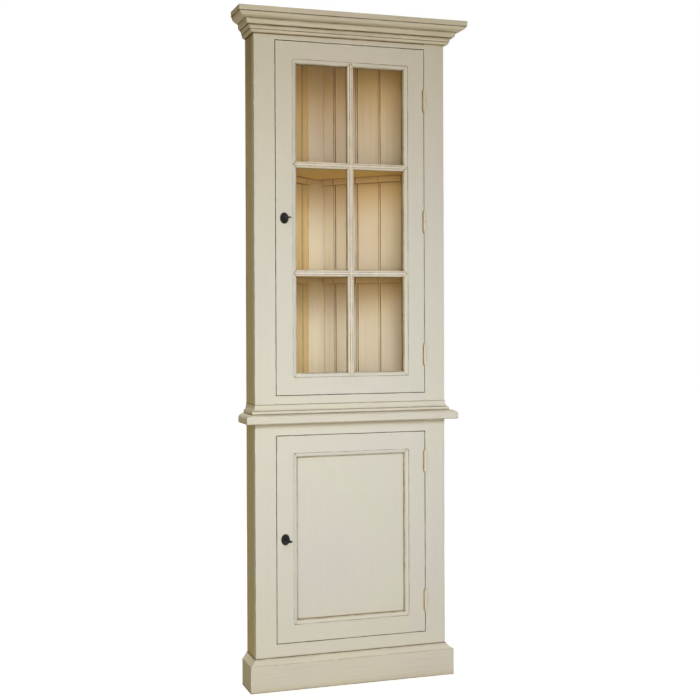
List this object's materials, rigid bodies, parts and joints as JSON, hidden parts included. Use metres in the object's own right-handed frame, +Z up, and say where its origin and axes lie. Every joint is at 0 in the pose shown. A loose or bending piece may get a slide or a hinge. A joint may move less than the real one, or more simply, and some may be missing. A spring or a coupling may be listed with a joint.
{
  "type": "corner cupboard",
  "caption": "Tall painted corner cupboard that stands in a room's corner: glazed display door over a panelled door, moulded cornice, waist and plinth, keyed locks.",
  "frame": {"origin": "on the floor, under the middle of the whole outline", "axes": "+Z up, +Y into the corner of the room, +X to the right of someone who faces the doors"},
  "size_m": [0.784, 0.5079, 2.2],
  "materials": {
    "painted_cream": "hand-painted cream, satin, antiqued with brown glaze in the quirks and rubbed at the edges",
    "interior": "tongued pine boards under a honey glaze, satin",
    "iron_black": "blackened iron, worn at the rims",
    "steel": "plain steel",
    "glass": "clear drawn glass"
  },
  "bodies": {
    "cabinet": {"frame_stile_left": "painted_cream", "frame_stile_right": "painted_cream", "frame_rail_bottom": "painted_cream", "frame_rail_middle": "painted_cream", "frame_rail_top": "painted_cream", "side_left": "painted_cream", "side_right": "painted_cream", "cornice": "painted_cream", "waist_nosing": "painted_cream", "waist_cove": "painted_cream", "plinth": "painted_cream", "back_left": "interior", "back_right": "interior", "corner_post": "interior", "top_board": "interior", "middle_board": "interior", "floor_board": "interior", "shelf_lower": "interior", "shelf_lower_batten_left": "interior", "shelf_lower_batten_right": "interior", "shelf_middle": "interior", "shelf_middle_batten_left": "interior", "shelf_middle_batten_right": "interior", "shelf_upper": "interior", "shelf_upper_batten_left": "interior", "shelf_upper_batten_right": "interior", "upper_door_hinge_1_frame": "painted_cream", "upper_door_hinge_2_frame": "painted_cream", "upper_door_hinge_3_frame": "painted_cream", "lower_door_hinge_1_frame": "painted_cream", "lower_door_hinge_2_frame": "painted_cream"},
    "upper_door": {"upper_door_stile_left": "painted_cream", "upper_door_stile_right": "painted_cream", "upper_door_rail_bottom": "painted_cream", "upper_door_rail_top": "painted_cream", "glazing_bars": "painted_cream", "pane_bottom_left": "glass", "pane_bottom_right": "glass", "pane_middle_left": "glass", "pane_middle_right": "glass", "pane_top_left": "glass", "pane_top_right": "glass", "upper_door_hinge_1_door": "painted_cream", "upper_door_hinge_2_door": "painted_cream", "upper_door_hinge_3_door": "painted_cream", "upper_door_escutcheon": "iron_black", "upper_door_lock_case": "iron_black"},
    "upper_key": {"upper_door_key": "iron_black"},
    "upper_bolt": {"upper_door_lock_bolt": "steel"},
    "lower_door": {"lower_door_stile_left": "painted_cream", "lower_door_stile_right": "painted_cream", "lower_door_rail_bottom": "painted_cream", "lower_door_rail_top": "painted_cream", "lower_door_panel": "painted_cream", "lower_door_hinge_1_door": "painted_cream", "lower_door_hinge_2_door": "painted_cream", "lower_door_escutcheon": "iron_black", "lower_door_lock_case": "iron_black"},
    "lower_key": {"lower_door_key": "iron_black"},
    "lower_bolt": {"lower_door_lock_bolt": "steel"}
  },
  "joints": [
    {"name": "upper_door_swing", "type": "hinge", "parent": "cabinet", "child": "upper_door", "pos_m": [0.259, -0.1967, 1.53125], "axis": [0, 0, 1], "range_deg": [0, 135]},
    {"name": "upper_key_turn", "type": "hinge", "parent": "upper_door", "child": "upper_key", "pos_m": [-0.2295, -0.192, 1.53125], "axis": [0, -1, 0], "range_deg": [0, 180]},
    {"name": "upper_bolt_slide", "type": "slide", "parent": "upper_door", "child": "upper_bolt", "axis": [-1, 0, 0], "range_m": [0, 0.0121]},
    {"name": "lower_door_swing", "type": "hinge", "parent": "cabinet", "child": "lower_door", "pos_m": [0.259, -0.1967, 0.4855], "axis": [0, 0, 1], "range_deg": [0, 135]},
    {"name": "lower_key_turn", "type": "hinge", "parent": "lower_door", "child": "lower_key", "pos_m": [-0.2295, -0.192, 0.4855], "axis": [0, -1, 0], "range_deg": [0, 180]},
    {"name": "lower_bolt_slide", "type": "slide", "parent": "lower_door", "child": "lower_bolt", "axis": [-1, 0, 0], "range_m": [0, 0.0121]}
  ],
  "couplings": [
    {"joint": "upper_bolt_slide", "follows": "upper_key_turn", "m_per_rad": 0.0038197},
    {"joint": "lower_bolt_slide", "follows": "lower_key_turn", "m_per_rad": 0.0038197}
  ]
}
